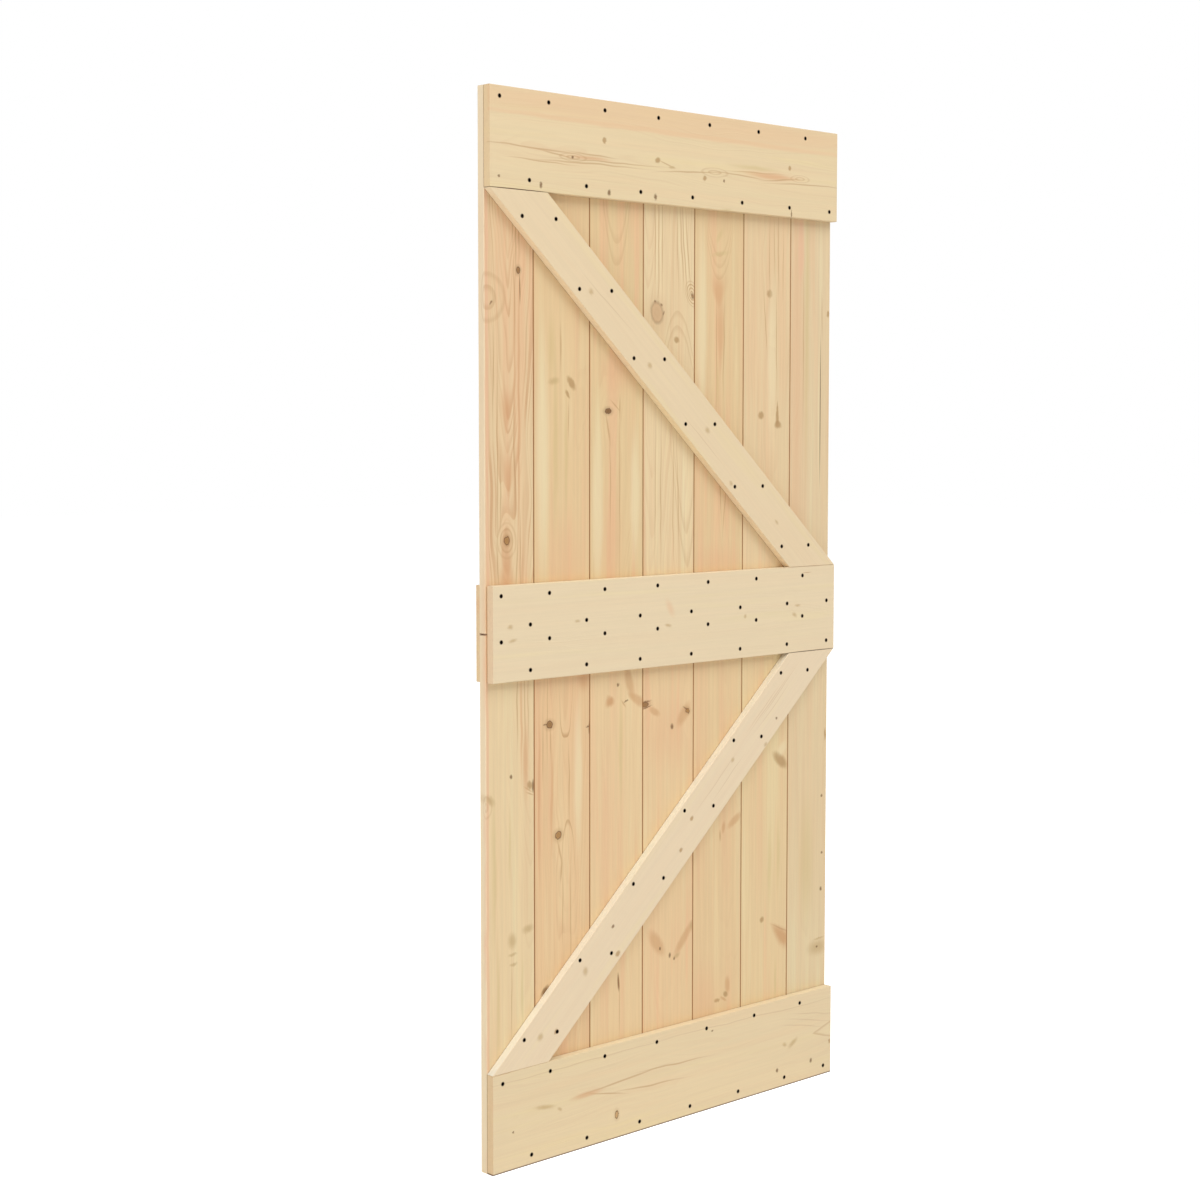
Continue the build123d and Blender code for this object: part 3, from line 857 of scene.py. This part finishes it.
def seam_group():
    """Paints shade, with dust, into the V grooves where a plank meets its neighbours."""
    edges = {"Left": "Float", "Right": "Float", "Width": "Float"}
    inputs = {"Colour": "Color", "Place": "Vector", **edges, "Shade": "Color"}
    group, bench, start, end = new_group("Seams", inputs, {"Colour": "Color"})
    across = bench.parts(start["Place"])["Y"]
    from_left = bench.calc("SUBTRACT", across, start["Left"])
    from_right = bench.calc("SUBTRACT", start["Right"], across)
    near = bench.calc("MINIMUM", from_left, from_right)
    amount = bench.fade(bench.calc("DIVIDE", near, start["Width"]), 0.25, 1.0, 0.85, 0.0)
    bench.feed(end["Colour"], bench.mix(amount, start["Colour"], start["Shade"]))
    return group


def group_named(name, maker):
    """A shared group, built the first time that it is asked for."""
    return bpy.data.node_groups.get(name) or maker()


def new_material(name):
    """An empty material, with its bench and its shader."""
    material = bpy.data.materials.new(name)
    material.use_nodes = True
    tree = material.node_tree
    return material, Bench(tree), tree.nodes["Principled BSDF"]


def board_axes(along):
    """Turns a board's own axes, along, across and depth, into the door's."""
    across = DEPTH.cross(along)
    return Matrix((along, across, DEPTH)).transposed()


def brace_direction(node, side, width):
    """Unit vector along a brace. Side is 1 if it falls to the right."""
    low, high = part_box(node)
    span = high.x - low.x
    rise = high.z - low.z
    angle = atan2(rise, span) + asin(width / hypot(span, rise))
    return Vector((cos(angle), 0, -side * sin(angle)))


def flow_round_knots(bench, place, node, local):
    """A place that the grain's pattern reads, moved near each knot."""
    for knot in KNOTS.get(node, []):
        place = bench.place(
            group_named("Grain round a knot", swerve_group),
            Place=place,
            Centre=local(knot.across, knot.height, 0),
            Reach=(knot.length * 4 + 40, knot.width * 1.5 + 14, THROUGH),
            Spread=0.45,
            Bulge=knot.bulge,
        ).outputs["Place"]
    return place


def lay_marks(bench, colour, node, flows, local):
    """Lays a board's smudges, streaks, cracks and pin knots on its wood."""
    for name, *spots in MARKS.get(node, []):
        kind = KINDS[name]
        for spot in spots:
            mark = Mark(*spot)
            colour = bench.lay(
                group_named("Mark", mark_group),
                Colour=colour,
                Place=flows[kind.flow],
                Centre=local(mark.across, mark.height, FRONT_FACE),
                Size=(mark.length, mark.width, kind.depth),
                Turn=radians(mark.turn),
                Taper=mark.taper,
                Softness=kind.softness,
                Tone=kind.tone,
                Strength=kind.strength,
            )
    return colour


def lay_figures(bench, colour, node, flows, local):
    """Lays a board's loops and arches of fine lines on its wood."""
    for figure in FIGURES.get(node, []):
        values = {
            "Colour": colour,
            "Place": flows["waved"],
            "Centre": local(figure.across, figure.height, FRONT_FACE),
            "Size": (figure.length, figure.width, SURFACE),
            "Turn": radians(figure.turn),
            "Lines": figure.lines,
            "Tone": KINDS["line"].tone,
            "Strength": figure.strength,
        }
        if figure.roundness:
            arches = group_named("Arches", arches_group)
            colour = bench.lay(arches, Roundness=figure.roundness, **values)
        else:
            colour = bench.lay(group_named("Loops", loops_group), **values)
    return colour


def lay_knots(bench, colour, node, flows, local, rim_colour):
    """Lays a board's knots on its wood."""
    for knot in KNOTS.get(node, []):
        heart, bark = SHADES[knot.shade]
        colour = bench.lay(
            group_named("Knot", knot_group),
            Colour=colour,
            Place=flows["ragged"],
            Centre=local(knot.across, knot.height, FRONT_FACE),
            Size=(knot.length, knot.width, THROUGH),
            Turn=radians(knot.turn),
            Heart=heart,
            Rim=tuple(rim_colour),
            Bark=bark,
        )
    return colour


def lay_screw_rims(bench, colour, node, flows, local, pine):
    """Darkens a ring round each screw head: crushed wood, with painted shade at the mouth of the hole.
    """
    heads = head_places(SCREWS[node]) if node in SCREWS else []
    radius = pine.hole_width / 2 / MM
    for head in heads:
        colour = bench.lay(
            group_named("Mark", mark_group),
            Colour=colour,
            Place=flows["straight"],
            Centre=local(head.x / MM, head.z / MM, FRONT_FACE),
            Size=(radius, radius, SURFACE),
            Softness=0.25,
            Tone=tuple(pine.hole_shade_and_crush_colour),
            Strength=0.92,
        )
    return colour


def shade_plank_seams(bench, colour, node, place, half_width, pine):
    """Paints shade and dust on a plank along its seams, of which the door's outer edges have none."""
    first = node.endswith("1")
    last = node.endswith("7")
    return bench.lay(
        group_named("Seams", seam_group),
        Colour=colour,
        Place=place,
        Left=-THROUGH if first else -half_width,
        Right=THROUGH if last else half_width - TONGUE,
        Width=pine.seam_width / MM,
        Shade=tuple(pine.seam_shade_and_dust_colour),
    )


def shade_corner(bench, colour, node, place, half_thickness, corner_shade_colour):
    """Paints shade on a rail or brace along the corner where it lies on the planks."""
    depth = bench.parts(place)["Z"]
    if node == "back_middle_rail":
        corner = bench.fade(depth, 0.5 - half_thickness, 1.9 - half_thickness, 1.0, 0.0)
    else:
        corner = bench.fade(depth, half_thickness - 1.9, half_thickness - 0.5)
    return bench.mix(corner, colour, tuple(corner_shade_colour), "MULTIPLY")


def shade_faces(bench, colour, board, along, pine):
    """Gives a board's sawn ends their end-grain colour, paints light on its long edges and paints
    shade on its countersinks.
    """
    normal = bench.add("ShaderNodeNewGeometry").outputs["Normal"]

    def facing(direction):
        """How squarely a face looks along a direction, either way."""
        return bench.calc("ABSOLUTE", bench.size("DOT_PRODUCT", normal, direction))

    end_shade = tuple(part * own for part, own in zip(pine.end_colour, board.end))
    colour = bench.mix(bench.fade(facing(along), 0.6, 0.9), colour, end_shade, "MULTIPLY")
    # Painted light: the long edges' multiplier, above 1 on some boards, makes them paler as if more
    # light fell there
    sideways = bench.fade(facing(DEPTH.cross(along)), 0.8, 0.95)
    colour = bench.mix(sideways, colour, board.edge, "MULTIPLY")
    # Painted shade: the countersinks' slanted walls get the dark hole colour
    sunk = bench.calc("COMPARE", facing(DEPTH), COUNTERSINK_SLOPE, SLOPE_TOLERANCE)
    return bench.mix(sunk, colour, tuple(pine.hole_shade_and_crush_colour))


def pine_material(node, along, face_colour, streaks, pine):
    """One board's pine, with its own knots and marks."""
    board = BOARDS[node]
    number = list(BOARDS).index(node)
    low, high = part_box(node)
    centre = (low + high) / 2
    axes = board_axes(along)
    half_thickness = (high.y - low.y) / 2 / MM

    def local(across, height, depth):
        """A place on the door, in millimetres, in the board's own axes."""
        point = Vector((across * MM, 0, height * MM)) - centre
        spot = axes.transposed() @ point / MM
        return (spot.x, spot.y, depth)

    def tinted(shade):
        """A colour with the board's own tint."""
        return tuple(part * tint for part, tint in zip(shade, board.tint))

    # Millimetres along, across and through the board, also as marks flow there
    material, bench, shader = new_material(node + "_pine")
    point = bench.add("ShaderNodeTexCoord").outputs["Object"]
    into_board = (centre, axes.to_euler(), (MM, MM, MM))
    place = bench.add("ShaderNodeMapping", point, *into_board, vector_type="TEXTURE").outputs[0]
    wobble = bench.shift(place, (9, 4, 7), 11.0 + number, (5, 3, 0))
    wave = bench.shift(place, (80, 30, 30), 5.0 + number, (0, 7, 0))
    flows = {
        "ragged": bench.move("ADD", place, wobble),
        "waved": bench.move("ADD", place, wave),
        "straight": place,
    }

    wood = bench.place(
        group_named("Pine", pine_group),
        Place=flow_round_knots(bench, place, node, local),
        Pith=(0, board.across, board.depth - half_thickness),
        Lean=board.lean,
        Spacing=board.spacing,
        Seed=number * 13.7,
        Face=tinted(face_colour),
        Ring=tuple(pine.ring_colour),
        Warm=tuple(pine.warm_colour),
        Pale=tinted(pine.pale_colour),
        Rings=board.rings,
        Warmth=board.warmth,
        Streaks=streaks,
    ).outputs
    colour = lay_marks(bench, wood["Colour"], node, flows, local)
    colour = lay_figures(bench, colour, node, flows, local)
    colour = lay_knots(bench, colour, node, flows, local, pine.rim_colour)
    colour = lay_screw_rims(bench, colour, node, flows, local, pine)
    if node in PLANKS:
        half_width = (high.x - low.x) / 2 / MM
        # Painted shade and dust along the plank seams
        colour = shade_plank_seams(bench, colour, node, place, half_width, pine)
    else:
        # Painted shade where a rail or brace meets the planks
        colour = shade_corner(bench, colour, node, place, half_thickness, pine.corner_shade_colour)
    bench.feed(shader.inputs["Base Color"], shade_faces(bench, colour, board, along, pine))
    bench.feed(shader.inputs["Roughness"], bench.fade(wood["Height"], 0.0, 1.4, 0.66, 0.56))
    bump = bench.add("ShaderNodeBump")
    bump.inputs["Strength"].default_value = 1.0
    bump.inputs["Distance"].default_value = pine.relief
    bench.feed(bump.inputs["Height"], wood["Height"])
    bench.feed(shader.inputs["Normal"], bump.outputs[0])
    return material


def dress(node, along, face_colour, streaks, pine):
    """Gives a packed board its own pine."""
    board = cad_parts[node]
    board.data.materials.clear()
    board.data.materials.append(pine_material(node, along, face_colour, streaks, pine))


def head_places(node):
    """The middle of each screw head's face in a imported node."""
    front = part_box(node)[0].y
    same_plane = 0.01 * MM
    same_head = 10 * MM
    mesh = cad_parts[node].data
    rim = [vert.co.copy() for vert in mesh.vertices if vert.co.y < front + same_plane]
    heads = []
    for corner in rim:
        near = [head for head in heads if (head[0] - corner).length < same_head]
        if near:
            near[0].append(corner)
        else:
            heads.append([corner])
    places = []
    for head in heads:
        corners = {tuple(round(part, 6) for part in corner) for corner in head}
        total = sum((Vector(corner) for corner in corners), Vector())
        places.append(total / len(corners))
    return places


def only(kind, items):
    """The items of one kind in what a bmesh operator returns."""
    return [item for item in items if isinstance(item, kind)]


def screw_blank(bm, screw, length):
    """One screw down -Z with its head's face at the origin, as a closed shell."""
    head = screw.head_diameter / 2
    core = screw.core_diameter / 2
    flat = head * 0.96
    arm_width = head * 0.13
    arm_reach = head * 0.62
    recess_depth = screw.head_height * 0.75
    recess_taper = 0.45

    # Cross-shaped recess: a square, four arms, then pushed down with a taper
    bmesh.ops.create_grid(bm, x_segments=1, y_segments=1, size=arm_width)
    for edge in list(bm.edges):
        middle = (edge.verts[0].co + edge.verts[1].co) / 2
        arm = bmesh.ops.extrude_edge_only(bm, edges=[edge])["geom"]
        step = middle.normalized() * (arm_reach - arm_width)
        bmesh.ops.translate(bm, vec=step, verts=only(bmesh.types.BMVert, arm))
    floor = bmesh.ops.extrude_face_region(bm, geom=list(bm.faces))["geom"]
    floor = only(bmesh.types.BMVert, floor)
    bmesh.ops.translate(bm, vec=(0, 0, -recess_depth), verts=floor)
    bmesh.ops.scale(bm, vec=(recess_taper, recess_taper, 1), verts=floor)
    covered = [face for face in bm.faces if all(abs(vert.co.z) < 1e-9 for vert in face.verts)]
    bmesh.ops.delete(bm, geom=covered, context="FACES_ONLY")

    # Flat head round the recess, then the taper, shank and point
    disc = bmesh.ops.create_circle(bm, segments=screw.sides, radius=flat)["verts"]
    ring = list(dict.fromkeys(edge for vert in disc for edge in vert.link_edges))
    mouth = [edge for edge in bm.edges if edge.is_boundary and edge not in ring]
    bmesh.ops.bridge_loops(bm, edges=ring + mouth)
    stations = [
        (head, 0.05 * screw.head_height),
        (head, 0.12 * screw.head_height),
        (core * 1.3, 0.9 * screw.head_height),
        (core * 1.05, 1.25 * screw.head_height),
        (core, length - screw.point_length),
        (core * 0.55, length - screw.point_length * 0.35),
        (core * 0.02, length),
    ]
    width = flat
    depth = 0.0
    for radius, station in stations:
        grown = bmesh.ops.extrude_edge_only(bm, edges=ring)["geom"]
        verts = only(bmesh.types.BMVert, grown)
        ring = only(bmesh.types.BMEdge, grown)
        bmesh.ops.scale(bm, vec=(radius / width, radius / width, 1), verts=verts)
        bmesh.ops.translate(bm, vec=(0, 0, depth - station), verts=verts)
        width = radius
        depth = station
    bmesh.ops.contextual_create(bm, geom=ring)


def joined_to(verts):
    """Every vertex that edges join to these ones, and the given ones too."""
    found = set(verts)
    fresh = list(verts)
    while fresh:
        vert = fresh.pop()
        for edge in vert.link_edges:
            other = edge.other_vert(vert)
            if other not in found:
                found.add(other)
                fresh.append(other)
    return found


def thread(bm, screw, length):
    """A ridge wound round the shank from under the head to the point."""
    core = screw.core_diameter / 2 * 0.9
    crest = screw.thread_diameter / 2
    half = screw.pitch * 0.3
    start = screw.head_height * 1.6
    thinnest = 0.06
    per_turn = 12
    run = length - start - screw.pitch
    steps = int(run / screw.pitch * per_turn)
    corners = [(core, -half), (crest, 0), (core, half)]
    section = [bm.verts.new((across, 0, -start + height)) for across, height in corners]
    cap = bm.faces.new(section)
    bmesh.ops.spin(
        bm,
        geom=[cap],
        cent=(0, 0, 0),
        axis=(0, 0, 1),
        dvec=(0, 0, -run / steps),
        angle=2 * pi * steps / per_turn,
        steps=steps,
        use_merge=False,
    )
    tip = length - screw.point_length
    for vert in joined_to(section):
        depth = -vert.co.z
        if depth > tip:
            share = max(thinnest, (length - depth) / screw.point_length)
            vert.co.x *= share
            vert.co.y *= share


def screw_piece(name, node, screw, material):
    """All the screws of one group as one mesh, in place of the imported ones."""
    low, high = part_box(node)
    length = high.y - low.y
    turn_between = 0.7
    bm = bmesh.new()
    screw_blank(bm, screw, length)
    thread(bm, screw, length)
    bmesh.ops.recalc_face_normals(bm, faces=list(bm.faces))
    bmesh.ops.rotate(bm, matrix=Matrix.Rotation(pi / 2, 3, "X"), verts=list(bm.verts))
    pattern = list(bm.verts) + list(bm.edges) + list(bm.faces)
    for number, place in enumerate(head_places(node)):
        copied = bmesh.ops.duplicate(bm, geom=pattern)["geom"]
        verts = only(bmesh.types.BMVert, copied)
        turn = Matrix.Rotation(number * turn_between, 3, "Y")
        bmesh.ops.rotate(bm, matrix=turn, verts=verts)
        bmesh.ops.translate(bm, vec=place, verts=verts)
    bmesh.ops.delete(bm, geom=only(bmesh.types.BMVert, pattern), context="VERTS")
    return add_piece(name, bm, material)


def add_object(name, data):
    """A new object in the scene, for a mesh, a lamp or a camera."""
    made = bpy.data.objects.new(name, data)
    bpy.context.scene.collection.objects.link(made)
    return made


def add_piece(name, bm, material):
    """A new object from a finished bmesh."""
    mesh = bpy.data.meshes.new(name)
    bm.to_mesh(mesh)
    bm.free()
    mesh.materials.append(material)
    return add_object(name, mesh)


def coating_material(screw):
    """Dull black screws."""
    material, bench, shader = new_material("black_screw_coating")
    coat = bench.place(group_named("Black coating", coating_group), Coating=tuple(screw.colour))
    bench.feed(shader.inputs["Base Color"], coat.outputs["Colour"])
    bench.feed(shader.inputs["Roughness"], coat.outputs["Roughness"])
    shader.inputs["Specular IOR Level"].default_value = 0.02
    return material


def lamp(name, place, aim, size, power):
    """A square soft lamp that points at a place."""
    light = bpy.data.lights.new(name, "AREA")
    light.shape = "SQUARE"
    light.size = size
    light.energy = power
    lamp_object = add_object(name, light)
    lamp_object.location = place
    lamp_object.rotation_euler = (aim - Vector(place)).to_track_quat("-Z", "Y").to_euler()


def seen_directly(bench):
    """1 for camera, glossy and transmission rays, and 0 for the light on the door."""
    path = bench.add("ShaderNodeLightPath").outputs
    seen = bench.calc("MAXIMUM", path["Is Camera Ray"], path["Is Glossy Ray"])
    return bench.calc("MAXIMUM", seen, path["Is Transmission Ray"])


def studio_floor(size):
    """A white floor that keeps a faint shadow."""
    material, bench, shader = new_material("white_floor")
    shader.inputs["Base Color"].default_value = (FLOOR_SHADE, FLOOR_SHADE, FLOOR_SHADE, 1)
    shader.inputs["Roughness"].default_value = 1.0
    shader.inputs["Specular IOR Level"].default_value = 0.0
    shader.inputs["Emission Color"].default_value = (1, 1, 1, 1)
    glow = bench.calc("MULTIPLY", seen_directly(bench), FLOOR_GLOW)
    bench.feed(shader.inputs["Emission Strength"], glow)
    bm = bmesh.new()
    bmesh.ops.create_grid(bm, x_segments=8, y_segments=8, size=size / 2)
    floor = add_piece("studio_floor", bm, material)


def studio_world(strength):
    """Even light from all round, seen as white."""
    world = bpy.data.worlds.new("studio_world")
    bpy.context.scene.world = world
    world.use_nodes = True
    bench = Bench(world.node_tree)
    background = world.node_tree.nodes["Background"]
    background.inputs["Color"].default_value = (1, 1, 1, 1)
    light = bench.fade(seen_directly(bench), 0.0, 1.0, strength, 1.0)
    bench.feed(background.inputs["Strength"], light)


class BARNDOOR_OT_finish_planks(bpy.types.Operator):
    """Gives each upright plank its own pine"""

    bl_idname = "barndoor.finish_planks"
    bl_label = "Finish Planks"

    def execute(self, context):
        pine = context.scene.barn_door_pine
        for node in PLANKS:
            dress(node, UP, pine.plank_colour, PLANK_STREAKS, pine)
        return {"FINISHED"}


class BARNDOOR_OT_finish_rails(bpy.types.Operator):
    """Gives each level rail its own pine"""

    bl_idname = "barndoor.finish_rails"
    bl_label = "Finish Rails"

    def execute(self, context):
        pine = context.scene.barn_door_pine
        for node in RAILS:
            dress(node, RIGHT, pine.rail_colour, RAIL_STREAKS, pine)
        return {"FINISHED"}


class BARNDOOR_OT_finish_braces(bpy.types.Operator):
    """Gives both slanting braces their pine, with the grain along their slope"""

    bl_idname = "barndoor.finish_braces"
    bl_label = "Finish Braces"

    def execute(self, context):
        pine = context.scene.barn_door_pine
        for node, side in BRACES.items():
            along = brace_direction(node, side, pine.brace_width)
            dress(node, along, pine.rail_colour, BRACE_STREAKS, pine)
        return {"FINISHED"}


class BARNDOOR_OT_make_screws(bpy.types.Operator):
    """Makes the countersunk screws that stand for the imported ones"""

    bl_idname = "barndoor.make_screws"
    bl_label = "Make Screws"

    def execute(self, context):
        screw = context.scene.barn_door_screws
        material = coating_material(screw)
        for board, node in SCREWS.items():
            piece = screw_piece(board + "_cross_head_screws", node, screw, material)
            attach(piece, BODY)
            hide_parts(node)
        return {"FINISHED"}


class BARNDOOR_OT_set_studio(bpy.types.Operator):
    """Sets up the floor, the lamps and the camera"""

    bl_idname = "barndoor.set_studio"
    bl_label = "Set Studio"

    def execute(self, context):
        studio = context.scene.barn_door_studio
        low, high = cad_box
        middle = (low + high) / 2
        studio_floor(studio.floor_size)
        studio_world(studio.room_light)
        lamp("key_lamp", KEY_PLACE, middle, KEY_SIZE, studio.key_power)
        lamp("side_lamp", SIDE_PLACE, middle, SIDE_SIZE, studio.side_power)
        camera = add_object("camera", bpy.data.cameras.new("camera"))
        camera.data.lens = studio.focal_length
        camera.data.shift_y = studio.lens_shift
        camera.location = studio.camera_place
        camera.rotation_euler = (pi / 2 - studio.camera_dip, 0, -studio.camera_turn)
        context.scene.camera = camera
        context.scene.view_settings.view_transform = "Standard"
        return {"FINISHED"}


class BARNDOOR_PT_panel(bpy.types.Panel):
    """Lists the steps that dress the door"""

    bl_label = "Barn Door"
    bl_idname = "BARNDOOR_PT_panel"
    bl_space_type = "VIEW_3D"
    bl_region_type = "UI"
    bl_category = "Barn Door"

    def draw(self, context):
        for step in STEPS:
            self.layout.operator(step.bl_idname)


STEPS = (
    BARNDOOR_OT_finish_planks,
    BARNDOOR_OT_finish_rails,
    BARNDOOR_OT_finish_braces,
    BARNDOOR_OT_make_screws,
    BARNDOOR_OT_set_studio,
)
SETTINGS = {
    "barn_door_pine": PineSettings,
    "barn_door_screws": ScrewSettings,
    "barn_door_studio": StudioSettings,
}


def register():
    for kind in (*SETTINGS.values(), *STEPS, BARNDOOR_PT_panel):
        bpy.utils.register_class(kind)
    for name, kind in SETTINGS.items():
        setattr(bpy.types.Scene, name, PointerProperty(type=kind))


def unregister():
    for name in SETTINGS:
        delattr(bpy.types.Scene, name)
    for kind in (BARNDOOR_PT_panel, *reversed(STEPS), *SETTINGS.values()):
        bpy.utils.unregister_class(kind)


def main():
    register()
    bpy.ops.barndoor.finish_planks()
    bpy.ops.barndoor.finish_rails()
    bpy.ops.barndoor.finish_braces()
    bpy.ops.barndoor.make_screws()
    bpy.ops.barndoor.set_studio()


if __name__ == "__main__":
    main()
